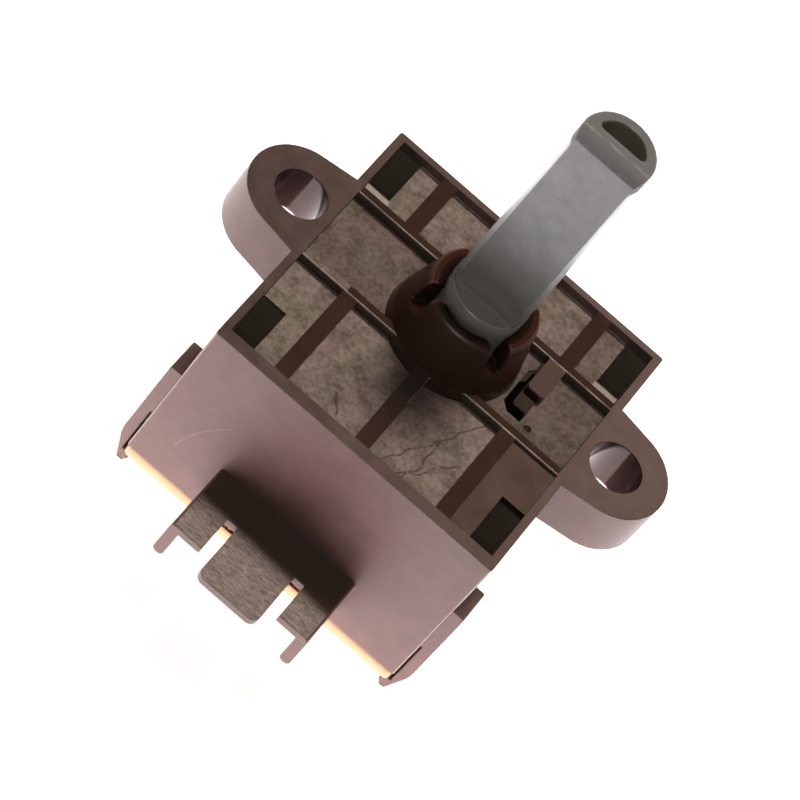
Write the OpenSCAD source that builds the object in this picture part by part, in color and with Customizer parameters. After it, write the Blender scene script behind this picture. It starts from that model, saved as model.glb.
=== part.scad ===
// Oven selector switch: a moulded housing with two mounting ears and a shrouded
// edge connector, a D-shaped plastic shaft, an eight-position ball detent and a
// contact brush that sweeps coded copper tracks on a circuit board.
// The origin is on the shaft axis, level with the rim and the ears' top faces.
// +Z runs up the shaft and the connector points to -Y.

/* [Housing] */
// Width of the housing between its two sides
body_w = 25.5; // [24.6:0.1:27]
// Distance from the shaft axis to the front face
body_front = 15.2; // [14.6:0.1:18]
// Distance from the shaft axis to the back face
body_back = 11.3; // [10.6:0.1:14]
// Height from the circuit board to the rim
body_h = 15.8; // [15:0.1:20]
// Radius of the housing's upright corners
corner_r = 0.25; // [0.15:0.05:0.5]
// Thickness of the rim along the two sides
rim_side = 0.67; // [0.4:0.05:1]
// Thickness of the rim along the back
rim_back = 0.55; // [0.4:0.05:1]
// Thickness of the rim along the front
rim_front = 1.1; // [0.6:0.05:1.6]
// Depth of the recessed panels below the rim
panel_depth = 0.85; // [0.4:0.05:1.2]
// Depth of the shallow panel at the front right
shallow_depth = 0.35; // [0.2:0.05:0.4]
// Thickness of the ceiling under the panels
ceiling_t = 1.65; // [1.2:0.05:2]

/* [Top ribs] */
// Front side of the back long rib, from the shaft axis
back_rib_y = 3.95; // [3.6:0.05:4.5]
// Front side of the front long rib, from the shaft axis
front_rib_y = 4.25; // [3.8:0.05:4.8]
// Thickness of the two long ribs
long_rib_t = 0.7; // [0.5:0.05:1]
// Distance from the shaft axis to the middle of the outer cross ribs
cross_rib_x = 7.47; // [6.8:0.05:8]
// Width of the cross ribs
cross_rib_w = 1.3; // [0.8:0.05:1.6]

/* [Corner wells] */
// Width of the corner wells
well_w = 2.08; // [1.4:0.05:2.4]
// Length of the two back wells
back_well_len = 4.75; // [3:0.05:5]
// Length of the two front wells
front_well_len = 5.2; // [3:0.05:6]
// Depth of the wells below the rim
well_depth = 9; // [4:0.5:11]

/* [Mounting ears] */
// Distance between the two screw holes
hole_spacing = 30; // [30:0.1:36]
// Diameter of the screw holes
hole_d = 4.3; // [3.2:0.1:4.6]
// Radius of the ears' round ends
ear_r = 4.27; // [3.8:0.01:5]
// Width of each ear where it meets the housing
ear_root_w = 9.44; // [9.2:0.02:11]
// Thickness of the ears
ear_t = 4.5; // [3:0.1:6]

/* [Collar] */
// Height of the collar above the rim
collar_h = 4.4; // [3.5:0.1:5]
// Outer radius of the collar at its top
collar_top_r = 4.42; // [4.2:0.02:4.8]
// Outer radius of the collar at the panel
collar_base_r = 5.5; // [5:0.05:5.7]
// Radius of the funnel in the collar's mouth
mouth_r = 3.92; // [3.5:0.02:4]
// Depth of the funnel
mouth_depth = 0.35; // [0.2:0.05:1.2]
// Bevel round the collar's outer top edge
collar_edge = 0.15; // [0.05:0.01:0.2]
// Width of the four slots between the collar's tongues
slot_w = 1.5; // [0.8:0.05:2]
// Height of the slots' floor above the rim
slot_floor = 2.1; // [0.5:0.1:2.5]
// Angle of the two front slots from the front, in degrees
front_slot_angle = 49.5; // [42:0.5:54]
// Angle of the two back slots from the back, in degrees
back_slot_angle = 40; // [30:0.5:54]

/* [Window beside the collar] */
// Left side of the window, from the shaft axis
window_x = 5.7; // [5.65:0.05:6]
// Width of the window
window_w = 1.9; // [1.4:0.05:2]
// Length of the window in front of the back long rib
window_len = 6; // [4:0.1:7]
// Width of the raised block over the window
block_w = 1.55; // [1:0.05:2]
// Length of the narrow back part of the window
window_neck = 1.15; // [0.5:0.05:2]
// Width of the gap between the narrow part's left side and the block
neck_gap = 0.22; // [0.15:0.01:0.4]
// Cut across the window's front left corner
window_cut = 0.65; // [0.2:0.05:0.9]
// Width of the small dimple beside the window
dimple_w = 0.6; // [0.4:0.05:0.8]
// Length of the raised block over the window
block_len = 3.55; // [2:0.05:3.9]
// Gap between the window's left side and the block
block_gap = 0.6; // [0.5:0.05:0.8]

/* [Connector hood] */
// Half width of the hood
hood_half_w = 6.4; // [6:0.05:7]
// Height of the hood's top above the circuit board
hood_h = 5.02; // [4.9:0.02:6]
// Thickness of the hood's top plate
hood_t = 0.65; // [0.5:0.05:0.7]
// Thickness of the hood's two side walls
hood_wall = 0.87; // [0.6:0.01:1.2]
// Radius of the hood's two upper edges
hood_edge_r = 0.4; // [0.2:0.05:0.5]
// Reach of the outer tongues in front of the front face
hood_reach = 6.8; // [5:0.1:9]
// Reach of the middle tongue in front of the front face
tongue_reach = 8.75; // [7:0.05:11]
// Height of the side walls below the hood's top
side_h = 3.68; // [2.5:0.02:4.2]
// Middle of each coding slot, from the shaft axis
coding_x = 3.15; // [2.8:0.05:3.6]
// Width of the coding slots
coding_w = 0.93; // [0.6:0.01:1.2]
// Distance from the front face to the inner end of the coding slots
coding_start = 3.25; // [2:0.05:4.5]
// Radius of the middle tongue's corners
tongue_r = 0.7; // [0.3:0.05:1]

/* [Snap hooks] */
// Length of each hook along the side of the housing
hook_len = 3.15; // [2:0.05:3.5]
// Distance from the front hooks to the front face
hook_front = 0.3; // [0.1:0.05:0.5]
// Distance from the back hooks to the back face
hook_back = 0.95; // [0.5:0.05:2]
// Thickness of the hooks
hook_t = 1; // [0.8:0.02:1.4]
// Gap behind the free lower end of each hook
hook_gap = 0.14; // [0.1:0.02:0.3]
// Height of the hooks' free lower end above the circuit board
hook_free = 4.2; // [1:0.1:6]
// Height of the hooks' top above the circuit board
hook_h = 9.45; // [8:0.05:11]
// Reach of the hooks' noses under the circuit board
nose_reach = 0.66; // [0.4:0.02:1]
// Height of the hooks' noses
nose_h = 1.15; // [0.8:0.05:1.5]

/* [Circuit board] */
// Thickness of the circuit board
board_t = 1; // [0.8:0.1:1.6]
// Radius of the circuit board's corners
board_corner = 0.45; // [0.2:0.05:1]
// Gap between the board's edges and the hooks
board_gap = 0.1; // [0.05:0.05:0.2]
// Thickness of the copper tracks
copper_t = 0.07; // [0.05:0.01:0.1]
// Radius of the innermost track's middle line
track_r = 4.6; // [4.4:0.05:4.8]
// Distance from one ring track to the next
track_pitch = 1.1; // [1:0.05:1.15]
// Width of the ring tracks
track_w = 0.8; // [0.6:0.02:0.85]
// Width of the leads
lead_w = 0.6; // [0.4:0.05:0.8]
// Distance from the axis to the common track's lead
common_lane = 6.6; // [6.2:0.1:7]
// Distance from the axis to the outer track's second lead
outer_lane = 10; // [9.6:0.1:10.2]
// Distance from the axis to the line where the leads turn to the pads
turn_lane = 8.1; // [7.8:0.1:8.6]
// Radius of the plated holes that join tracks and leads
via_r = 0.25; // [0.15:0.05:0.3]
// Distance from one edge pad to the next
pad_pitch = 2.5; // [2.3:0.05:2.7]
// Width of the edge pads
pad_w = 1.5; // [1:0.1:1.7]
// Length of the edge pads
pad_len = 3.9; // [3:0.1:4.2]
// Radius of the two locating pegs
peg_r = 0.8; // [0.5:0.05:1]

/* [Shaft] */
// Height of the shaft's tip above the rim
shaft_h = 24.6; // [15:0.1:40]
// Radius of the shaft at its tip
shaft_r = 3; // [2.8:0.05:3.1]
// Growth of the shaft's radius from its tip to its shoulder
shaft_draft = 0.08; // [0:0.01:0.12]
// Distance from the axis to the shaft's flat
flat_y = 1.5; // [1:0.05:2]
// Height of the shoulder below the flat, above the rim
shoulder_h = 5.6; // [5:0.1:8]
// Radius of the shaft's journal
journal_r = 3.15; // [3.12:0.01:3.3]
// Height of the bevel at the tip of the flat
tip_bevel = 0.8; // [0.4:0.05:1.2]
// Reach of that bevel across the tip
tip_reach = 1.05; // [0.4:0.05:1.3]
// Radius of the rounding round the tip
tip_edge = 0.35; // [0.1:0.05:0.4]
// Radius of the hollow in the tip
hollow_r = 2.08; // [1.6:0.02:2.3]
// Distance from the axis to the hollow's flat side
hollow_y = 0.2; // [0:0.05:0.4]
// Radius of the hollow's two corners
hollow_corner = 0.4; // [0.2:0.05:0.5]
// Depth of the hollow
hollow_depth = 14; // [5:0.5:16]
// Width of the square peg under the journal
peg_w = 4.2; // [3.6:0.05:4.4]
// Length of the square peg
peg_len = 6.2; // [5:0.1:7]

/* [Rotor] */
// Radius of the hub
hub_r = 4.4; // [4:0.05:4.5]
// Radius of the contact disc
disc_r = 8.95; // [8.4:0.05:9.1]
// Thickness of the contact disc
disc_t = 1.4; // [1:0.1:2]
// Height of the contact disc's underside above the board
disc_h = 1.4; // [1.3:0.05:1.6]
// Radius of the foot that runs on the board
foot_r = 3.3; // [3:0.05:3.8]
// Radius of the spigot that turns in the board
spigot_r = 2.45; // [2:0.05:2.7]
// Thickness of the stiffening webs
web_t = 1.2; // [0.8:0.1:1.6]

/* [Detent] */
// Number of positions in a full turn
positions = 8; // [4:4:8]
// Diameter of the two balls
ball_d = 2.5; // [2.2:0.1:2.6]
// Depth of the balls' centres below the rim
ball_depth = 6; // [5.5:0.1:6.5]
// Radius at the crests of the detent ring
crest_r = 8.85; // [8.8:0.05:9]
// Radius at the bottoms of the detent ring's notches
valley_r = 9.3; // [9.2:0.05:9.35]
// Radius of the notches' round bottoms
notch_r = 4.5; // [3:0.1:5]
// Radius of the round chamber under the detent ring
chamber_r = 9.4; // [9.35:0.05:9.5]
// Distance from the axis to the bottom of the ball pockets
pocket_r = 3.5; // [3.3:0.05:3.8]
// Wall of the barrels round the ball pockets
barrel_wall = 0.65; // [0.5:0.05:0.8]
// Diameter of the detent springs
spring_d = 2.1; // [1.8:0.05:2.2]
// Diameter of the detent springs' wire
wire_d = 0.3; // [0.2:0.05:0.35]
// Number of turns of the detent springs
spring_turns = 6; // [4:1:7]

/* [Contact brush] */
// Thickness of the brush's spring sheet
sheet_t = 0.16; // [0.12:0.02:0.2]
// Width of each finger
finger_w = 0.3; // [0.2:0.02:0.32]
// Gap between the two fingers of a pair
finger_gap = 0.1; // [0.06:0.02:0.14]
// Distance from the contact line to the brush's base
finger_len = 2.7; // [2.4:0.1:3]
// Length of the brush's base
base_len = 3.6; // [3.2:0.1:4]
// Distance from the axis to the two stakes that hold the brush
stake_ring = 7.2; // [6.9:0.05:7.4]
// Radius of the two stakes
stake_r = 0.45; // [0.35:0.05:0.55]

/* [Fits] */
// Radial clearance of a turning fit
turn_gap = 0.05; // [0.02:0.01:0.08]
// Clearance between seated pieces
seat_gap = 0.03; // [0.02:0.01:0.05]
// End clearance of the rotor
end_gap = 0.08; // [0.05:0.01:0.15]

/* [Hidden] */
$fn = 48;

// Small overlap that lets cuts run clean through a face
over = 0.5;
// Depth by which a straight edge ends inside the round that it runs into
bite = 0.006;
half_w = body_w / 2;
side_in = half_w - rim_side;
back_in = body_back - rim_back;
front_in = body_front - rim_front;
floor_z = -panel_depth;
ceiling_z = floor_z - ceiling_t;
board_top = -body_h;
board_under = board_top - board_t;
hood_top = board_top + hood_h;
hood_under = hood_top - hood_t;
hood_in = hood_half_w - hood_wall;
bore_r = journal_r + turn_gap;
// The connector pocket stops short of the chamber by this wall
pocket_wall = 0.7;
pocket_back = chamber_r + pocket_wall;
// The detent ring ends below the balls
ring_end = -ball_depth - ball_d / 2 - 0.95;
ball_r = ball_d / 2;
ball_x = crest_r - ball_r - turn_gap;
barrel_r = ball_r + turn_gap + barrel_wall;
hub_top = ceiling_z - 0.2;
disc_under = board_top + disc_h;
disc_top = disc_under + disc_t;
foot_under = board_top + end_gap;
copper_top = board_top + copper_t;
sheet_z = disc_under - sheet_t;
peg_x = half_w - 2.5 * peg_r;
peg_y = body_back - 2.5 * peg_r;
step_angle = 360 / positions;
// The three coded tracks tell eight steps of a turn apart
code_step = 360 / 8;
function ring_r(i) = track_r + i * track_pitch;
function pad_x(i) = (i - 1.5) * pad_pitch;
pad_front = board_gap * 2 - body_front;
pad_back = pad_front + pad_len;
function at(r, a) = [r * cos(a), r * sin(a)];

// Box between two opposite corners
module block(low, high) {
    translate(low) cube(high - low);
}

// Plate with four round upright corners
module round_plate(x0, x1, y0, y1, z0, z1, r) {
    translate([0, 0, z0]) linear_extrude(z1 - z0) {
        translate([x0 + r, y0]) square([x1 - x0 - 2 * r, y1 - y0]);
        translate([x0, y0 + r]) square([x1 - x0, y1 - y0 - 2 * r]);
        for (x = [x0 + r, x1 - r], y = [y0 + r, y1 - r]) translate([x, y]) circle(r);
    }
}

// Rim that stands round the recessed panels
module rim() {
    difference() {
        round_plate(-half_w, half_w, -body_front, body_back, floor_z - over, 0, corner_r);
        block([-side_in, -front_in, floor_z - 2 * over], [side_in, back_in, over]);
    }
}

// Ribs that divide the recess into panels, with the shallow panel's floor
module top_ribs() {
    low = floor_z - over;
    block([-side_in - over / 2, back_rib_y, low], [side_in + over / 2, back_rib_y + long_rib_t, 0]);
    block([-side_in - over / 2, -front_rib_y, low],
          [side_in + over / 2, -front_rib_y + long_rib_t, 0]);
    for (x = [-cross_rib_x, cross_rib_x]) {
        block([x - cross_rib_w / 2, back_rib_y, low], [x + cross_rib_w / 2, back_in + over / 2, 0]);
    }
    for (x = [-cross_rib_x, 0, cross_rib_x]) {
        block([x - cross_rib_w / 2, -front_in - over / 2, low],
              [x + cross_rib_w / 2, -front_rib_y + long_rib_t / 2, 0]);
    }
    block([cross_rib_x, -front_in - over / 2, low],
          [side_in + over / 2, -front_rib_y + long_rib_t / 2, -shallow_depth]);
}

// Four blind wells that core out the corners
module corner_wells() {
    for (s = [-1, 1]) {
        block([s * side_in - (s > 0 ? well_w : 0), back_in - back_well_len, -well_depth],
              [s * side_in + (s > 0 ? 0 : well_w), back_in, over]);
        block([s * side_in - (s > 0 ? well_w : 0), -front_in, -well_depth],
              [s * side_in + (s > 0 ? 0 : well_w), -front_in + front_well_len, over]);
    }
}

// One ear, with straight flanks that run into its round end
module ear() {
    reach = hole_spacing / 2 - half_w;
    root = ear_root_w / 2;
    away = norm([reach, root]);
    turn = 180 - atan2(root, reach) - acos(ear_r / away);
    touch = at(ear_r - bite, turn);
    translate([0, 0, -ear_t]) linear_extrude(ear_t) {
        difference() {
            translate([hole_spacing / 2, 0]) circle(ear_r);
            translate([0, -2 * ear_r]) square([side_in + rim_side / 2, 4 * ear_r]);
        }
        polygon([
            [side_in + rim_side / 2, -root], [half_w, -root],
            [hole_spacing / 2 + touch[0], -touch[1]], [hole_spacing / 2 + touch[0], touch[1]],
            [half_w, root], [side_in + rim_side / 2, root]
        ]);
    }
}

// Conical collar with a bevelled mouth, before it is slotted
module collar() {
    rotate_extrude($fn = 96) polygon([
        [bore_r, ceiling_z], [collar_base_r, ceiling_z],
        [collar_base_r, floor_z], [collar_top_r, collar_h - collar_edge],
        [collar_top_r - collar_edge, collar_h], [mouth_r, collar_h],
        [bore_r, collar_h - mouth_depth]
    ]);
}

// Four slots that split the collar into spring tongues
module collar_slots() {
    for (s = [-1, 1], a = [front_slot_angle, 180 - back_slot_angle]) {
        rotate([0, 0, s * a - 90]) block([bore_r / 2, -slot_w / 2, slot_floor],
                                         [collar_base_r + over, slot_w / 2, collar_h + over]);
    }
}

// Window with a narrow back part and a cut front corner
module window() {
    front = back_rib_y - window_len;
    right = window_x + window_w;
    neck_x = window_x + block_gap - neck_gap;
    neck_y = back_rib_y - window_neck;
    translate([0, 0, ceiling_z - over]) linear_extrude(over - ceiling_z + over) polygon([
        [window_x + window_cut, front], [right, front], [right, back_rib_y], [neck_x, back_rib_y],
        [neck_x, neck_y], [window_x, neck_y - block_gap + neck_gap], [window_x, front + window_cut]
    ]);
}

// Raised block that bridges the back half of the window
module window_block() {
    x0 = window_x + block_gap;
    round_plate(x0, x0 + block_w, back_rib_y - block_len, back_rib_y + long_rib_t,
                ceiling_z, 0, 0.3);
}

// Notched ring that the balls press into, cut out of the ceiling's skirt
module detent_cavity() {
    translate([0, 0, ring_end - over]) linear_extrude(ceiling_z - ring_end + over) {
        circle(crest_r, $fn = 96);
        for (i = [0 : positions - 1]) translate(at(valley_r - notch_r, i * step_angle))
            circle(notch_r, $fn = 96);
    }
}

// Cross section of the hood: a top plate with two side walls that end in a round
module hood_section() {
    top = hood_top;
    difference() {
        union() {
            translate([-hood_half_w, top - side_h + hood_wall / 2])
                square([2 * hood_half_w, side_h - hood_wall / 2 - hood_edge_r]);
            translate([-hood_half_w + hood_edge_r, top - 2 * hood_edge_r])
                square([2 * (hood_half_w - hood_edge_r), 2 * hood_edge_r]);
            for (x = [-1, 1]) translate([x * (hood_half_w - hood_edge_r), top - hood_edge_r])
                circle(hood_edge_r);
        }
        translate([-hood_in, hood_under - side_h]) square([2 * hood_in, side_h]);
    }
    for (x = [-1, 1]) translate([x * (hood_half_w - hood_wall / 2), top - side_h + hood_wall / 2])
        circle(hood_wall / 2);
}

// Hood over the connector, with two coding slots and a longer middle tongue
module hood() {
    slot_in = coding_x - coding_w / 2;
    slot_out = coding_x + coding_w / 2;
    difference() {
        translate([0, over - body_front, 0]) rotate([90, 0, 0])
            linear_extrude(hood_reach + over) hood_section();
        for (s = [-1, 1]) {
            block([s > 0 ? slot_in : -slot_out, -body_front - hood_reach - over, hood_under - over],
                  [s > 0 ? slot_out : -slot_in, -body_front - coding_start, hood_top + over]);
        }
    }
    round_plate(-slot_in, slot_in, -body_front - tongue_reach, -body_front - coding_start,
                hood_under, hood_top, tongue_r);
    block([-slot_in, -body_front - hood_reach, hood_under], [slot_in, -body_front, hood_top]);
}

// Snap hook with a free lower end that catches under the board
module hook(y0) {
    out = half_w + hook_t;
    top = board_top + hook_h;
    under = board_under - seat_gap;
    translate([0, y0 + hook_len, 0]) rotate([90, 0, 0]) linear_extrude(hook_len) polygon([
        [half_w - over, top], [out - 0.12, top], [out, top - 0.12],
        [out, board_top + 1], [out - 0.1, board_top + 0.3],
        [half_w + 0.1, under - nose_h + 0.05], [half_w - nose_reach / 2, under - nose_h],
        [half_w - nose_reach, under - nose_h / 2], [half_w - board_gap, under],
        [half_w + hook_gap, under], [half_w + hook_gap, board_top + hook_free],
        [half_w - over, board_top + hook_free]
    ]);
}

module hooks() {
    for (s = [0, 1]) mirror([s, 0, 0]) {
        hook(-body_front + hook_front);
        hook(body_back - hook_back - hook_len);
    }
}

// Chamber for the rotor, the shaft's bore and the connector's pocket
module inner_spaces() {
    translate([0, 0, board_top - over]) cylinder(h = ring_end - board_top + over, r = chamber_r, $fn = 96);
    detent_cavity();
    translate([0, 0, ceiling_z - over]) cylinder(h = collar_h - ceiling_z, r = bore_r, $fn = 96);
    block([-hood_in, -body_front - over, board_top - over], [hood_in, -pocket_back, hood_under]);
}

module housing() {
    color([0.36, 0.28, 0.25]) {
        difference() {
            union() {
                round_plate(-half_w, half_w, -body_front, body_back, board_top, floor_z, corner_r);
                rim();
                top_ribs();
                ear();
                mirror([1, 0, 0]) ear();
                collar();
                hood();
                hooks();
                for (s = [-1, 1]) translate([s * peg_x, s * peg_y, board_under - peg_r / 2])
                    cylinder(h = board_t + peg_r, r = peg_r);
            }
            corner_wells();
            inner_spaces();
            collar_slots();
            window();
            translate([window_x + window_w + 1.2 * dimple_w, back_rib_y - window_len, floor_z - dimple_w])
                cylinder(h = 2 * dimple_w, r = dimple_w / 2);
            for (s = [-1, 1]) translate([s * hole_spacing / 2, 0, -ear_t - over])
                cylinder(h = ear_t + 2 * over, r = hole_d / 2);
        }
        window_block();
    }
}

// Square peg that drives the rotor, with a snap ridge on two faces
module drive_peg(gap) {
    w = peg_w + 2 * gap;
    intersection() {
        block([-w / 2, -w / 2, hub_top - peg_len - gap], [w / 2, w / 2, hub_top + over]);
        translate([0, 0, hub_top - peg_len - gap])
            cylinder(h = peg_len + gap + over, r = journal_r - 0.3 + gap);
    }
    for (a = [0, 180]) rotate([0, 0, a]) translate([-1 - gap, 0, 0]) rotate([90, 0, 90])
        linear_extrude(2 + 2 * gap) polygon([
            [w / 2 - over, hub_top - peg_len + 1.6 + gap], [w / 2, hub_top - peg_len + 1.6 + gap],
            [w / 2 + 0.25, hub_top - peg_len + 1.4 + gap], [w / 2 + 0.25, hub_top - peg_len + 1.2 - gap],
            [w / 2, hub_top - peg_len + 0.6 - gap], [w / 2 - over, hub_top - peg_len + 0.6 - gap]
        ]);
}

// D-shaped section of the hollow, with two round corners
module hollow_section() {
    corner_y = hollow_y + hollow_corner;
    corner_x = sqrt(pow(hollow_r - hollow_corner, 2) - pow(corner_y, 2));
    touch = [corner_x, corner_y] * hollow_r / (hollow_r - hollow_corner);
    difference() {
        circle(hollow_r);
        polygon([
            [-shaft_r, -shaft_r], [shaft_r, -shaft_r], [shaft_r, touch[1]], touch,
            [corner_x, hollow_y], [-corner_x, hollow_y], [-touch[0], touch[1]], [-shaft_r, touch[1]]
        ]);
    }
    for (x = [-corner_x, corner_x]) translate([x, corner_y]) circle(hollow_corner);
}

module shaft() {
    color([0.5, 0.5, 0.48]) difference() {
        union() {
            translate([0, 0, hub_top]) cylinder(h = shoulder_h - hub_top, r = journal_r, $fn = 96);
            rotate_extrude($fn = 96) {
                polygon([
                    [0, shoulder_h - over], [shaft_r + shaft_draft, shoulder_h - over],
                    [shaft_r, shaft_h - tip_edge], [shaft_r - tip_edge, shaft_h - tip_edge],
                    [shaft_r - tip_edge, shaft_h], [0, shaft_h]
                ]);
                intersection() {
                    translate([shaft_r - tip_edge, shaft_h - tip_edge]) circle(tip_edge, $fn = 48);
                    translate([shaft_r - tip_edge, shaft_h - tip_edge]) square(tip_edge);
                }
            }
            drive_peg(0);
        }
        block([-2 * shaft_r, -2 * shaft_r, shoulder_h], [2 * shaft_r, -flat_y, shaft_h + over]);
        translate([0, -flat_y, shaft_h - tip_bevel]) rotate([atan2(tip_bevel, tip_reach), 0, 0])
            block([-2 * shaft_r, -2 * shaft_r, 0], [2 * shaft_r, 2 * shaft_r, 2 * shaft_r]);
        translate([0, 0, shaft_h - hollow_depth]) linear_extrude(hollow_depth + over) hollow_section();
    }
}

// Barrel that holds one ball and its spring, on a web that stands on the disc
module barrel() {
    translate([0, 0, -ball_depth]) rotate([0, 90, 0]) cylinder(h = crest_r - 0.35, r = barrel_r);
    block([0, -web_t / 2, disc_top - over], [crest_r - 0.6, web_t / 2, -ball_depth]);
}

// Sloping web that stiffens the disc
module gusset() {
    translate([0, web_t / 2, 0]) rotate([90, 0, 0]) linear_extrude(web_t) polygon([
        [0, disc_top - over], [disc_r - 0.6, disc_top - over],
        [disc_r - 0.6, disc_top + 0.4], [hub_r, disc_top + 4], [0, disc_top + 4]
    ]);
}

function stake_at(i) = at(stake_ring, i == 0 ? 33 : 48);

module rotor() {
    color([0.2, 0.2, 0.21]) difference() {
        union() {
            translate([0, 0, foot_under]) cylinder(h = hub_top - foot_under, r = foot_r);
            translate([0, 0, disc_under]) cylinder(h = hub_top - disc_under, r = hub_r);
            translate([0, 0, disc_under]) cylinder(h = disc_t, r = disc_r, $fn = 96);
            translate([0, 0, board_under - 0.25]) cylinder(h = board_t + 1, r = spigot_r);
            for (a = [0, 180]) rotate([0, 0, a]) barrel();
            for (a = [90, 270]) rotate([0, 0, a]) gusset();
            for (i = [0, 1]) translate([stake_at(i)[0], stake_at(i)[1], sheet_z]) {
                cylinder(h = disc_t, r = stake_r);
                translate([0, 0, -stake_r / 2]) cylinder(h = stake_r / 2, r1 = stake_r, r2 = 1.8 * stake_r);
            }
        }
        for (a = [0, 180]) rotate([0, 0, a]) translate([pocket_r, 0, -ball_depth]) rotate([0, 90, 0])
            cylinder(h = crest_r, r = ball_r + turn_gap);
        drive_peg(seat_gap);
    }
}

module ball(side) {
    color([0.75, 0.76, 0.78]) translate([side * ball_x, 0, -ball_depth]) sphere(ball_r);
}

// Compression spring along +X, swept as a closed six-sided tube
module spring() {
    coil_r = spring_d / 2 - wire_d / 2;
    seat = sqrt(pow(ball_r, 2) - pow(coil_r, 2)) + wire_d;
    length = ball_x - seat - pocket_r - seat_gap;
    per_turn = 20;
    rings = spring_turns * per_turn;
    sides = 6;
    // The end turns lie flat, and the others share the length between them
    function lift(t) = let (u = min(max((t - 1) / (spring_turns - 2), 0), 1))
        wire_d / 2 + (t < 1 ? t : 1) * wire_d * 1.05
        + u * (length - wire_d * 3.1) + (t > spring_turns - 1 ? t - spring_turns + 1 : 0) * wire_d * 1.05;
    points = [for (i = [0 : rings], j = [0 : sides - 1])
        let (a = 360 * i / per_turn, b = 360 * j / sides,
             r = coil_r + cos(b) * wire_d / 2)
        [lift(i / per_turn) + sin(b) * wire_d / 2, r * cos(a), r * sin(a)]];
    walls = [for (i = [0 : rings - 1], j = [0 : sides - 1])
        let (k = (j + 1) % sides)
        [i * sides + j, i * sides + k, (i + 1) * sides + k, (i + 1) * sides + j]];
    ends = [[for (j = [0 : sides - 1]) sides - 1 - j], [for (j = [0 : sides - 1]) rings * sides + j]];
    translate([pocket_r + seat_gap / 2, 0, -ball_depth]) polyhedron(points, concat(walls, ends));
}

// Outline of a bent strip that follows a line of points at an even thickness
function strip(line, t) =
    let (n = len(line),
         normals = [for (i = [0 : n - 1])
             let (d = line[min(i + 1, n - 1)] - line[max(i - 1, 0)]) [-d[1], d[0]] / norm(d)])
    concat([for (i = [0 : n - 1]) line[i] + normals[i] * t / 2],
           [for (i = [n - 1 : -1 : 0]) line[i] - normals[i] * t / 2]);

module contact_brush() {
    low = copper_top + 0.03 + sheet_t / 2;
    high = sheet_z + sheet_t / 2;
    tip = finger_w;
    bend = [[finger_len + 2 * tip, high], [finger_len, high], [tip, low + tip / 5], [0, low],
            [-tip, low + tip / 4], [-2 * tip, low + tip]];
    color([0.83, 0.68, 0.32]) {
        difference() {
            translate([0, 0, sheet_z]) linear_extrude(sheet_t) intersection() {
                difference() {
                    circle(disc_r - 0.35, $fn = 96);
                    circle(hub_r - 0.4);
                }
                translate([web_t, finger_len]) square([disc_r, base_len]);
            }
            for (i = [0, 1]) translate([stake_at(i)[0], stake_at(i)[1], sheet_z - over])
                cylinder(h = 2 * over, r = stake_r + seat_gap);
        }
        for (i = [0 : 3], s = [-1, 1])
            translate([ring_r(i) + s * (finger_gap + finger_w) / 2 - finger_w / 2, 0, 0])
                rotate([90, 0, 90]) linear_extrude(finger_w) polygon(strip(bend, sheet_t));
    }
}

// Plated holes: one for each ring, and one more for the back arc of ring c
function via_at(i) = [at(ring_r(0), 200), at(ring_r(1), 262), at(ring_r(2), 240),
                      at(ring_r(3), 285), at(ring_r(3), 40)][i];

module circuit_board() {
    color([0.93, 0.72, 0.38]) difference() {
        round_plate(-half_w + board_gap, half_w - board_gap, -body_front, body_back - board_gap,
                    board_under, board_top, board_corner);
        translate([0, 0, board_under - over]) cylinder(h = board_t + 2 * over, r = spigot_r + turn_gap);
        for (s = [-1, 1]) translate([s * peg_x, s * peg_y, board_under - over])
            cylinder(h = board_t + 2 * over, r = peg_r + turn_gap);
        for (i = [0 : 4]) translate([via_at(i)[0], via_at(i)[1], board_under - over])
            cylinder(h = board_t + 2 * over, r = via_r + seat_gap / 3, $fn = 24);
    }
}

// Arc of copper on the board's top face that starts at a code step and spans some steps
module arc_track(i, start, steps) {
    color([0.86, 0.66, 0.36]) translate([0, 0, board_top]) rotate([0, 0, start * code_step])
        rotate_extrude(angle = steps * code_step, $fn = 96)
            translate([ring_r(i) - track_w / 2, 0]) square([track_w, copper_t]);
}

module common_ring() {
    color([0.86, 0.66, 0.36]) translate([0, 0, board_top]) difference() {
        cylinder(h = copper_t, r = track_r + track_w / 2, $fn = 96);
        translate([0, 0, -over]) cylinder(h = 2 * over, r = track_r - track_w / 2, $fn = 96);
    }
}

// Flat lead that follows a line of points, with round joints
module lead_line(line) {
    for (i = [0 : len(line) - 2]) {
        step = line[i + 1] - line[i];
        translate(line[i]) rotate(atan2(step[1], step[0]))
            translate([0, -lead_w / 2]) square([norm(step), lead_w]);
    }
    for (point = line) translate(point) circle(lead_w / 2 + bite, $fn = 24);
}

// Copper under the board: leads from plated holes to one edge pad
module under_copper(i, lines, holes) {
    color([0.86, 0.66, 0.36]) {
        translate([0, 0, board_under - copper_t]) linear_extrude(copper_t) {
            for (line = lines) lead_line(line);
            for (h = holes) translate(via_at(h)) circle(lead_w / 2 + via_r / 2, $fn = 24);
            translate([pad_x(i) - pad_w / 2, pad_front]) square([pad_w, pad_len]);
        }
        for (h = holes) translate([via_at(h)[0], via_at(h)[1], board_under - copper_t])
            cylinder(h = board_t + copper_t, r = via_r, $fn = 24);
    }
}

module edge_pad(i) {
    color([0.86, 0.66, 0.36])
        block([pad_x(i) - pad_w / 2, pad_front, board_top], [pad_x(i) + pad_w / 2, pad_back, copper_top]);
}

module lead_common() {
    under_copper(0, [[via_at(0), [-common_lane, via_at(0)[1] - lead_w - track_w], [-common_lane, -turn_lane],
                      [pad_x(0), pad_back], [pad_x(0), pad_back - lead_w]]], [0]);
}

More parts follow.
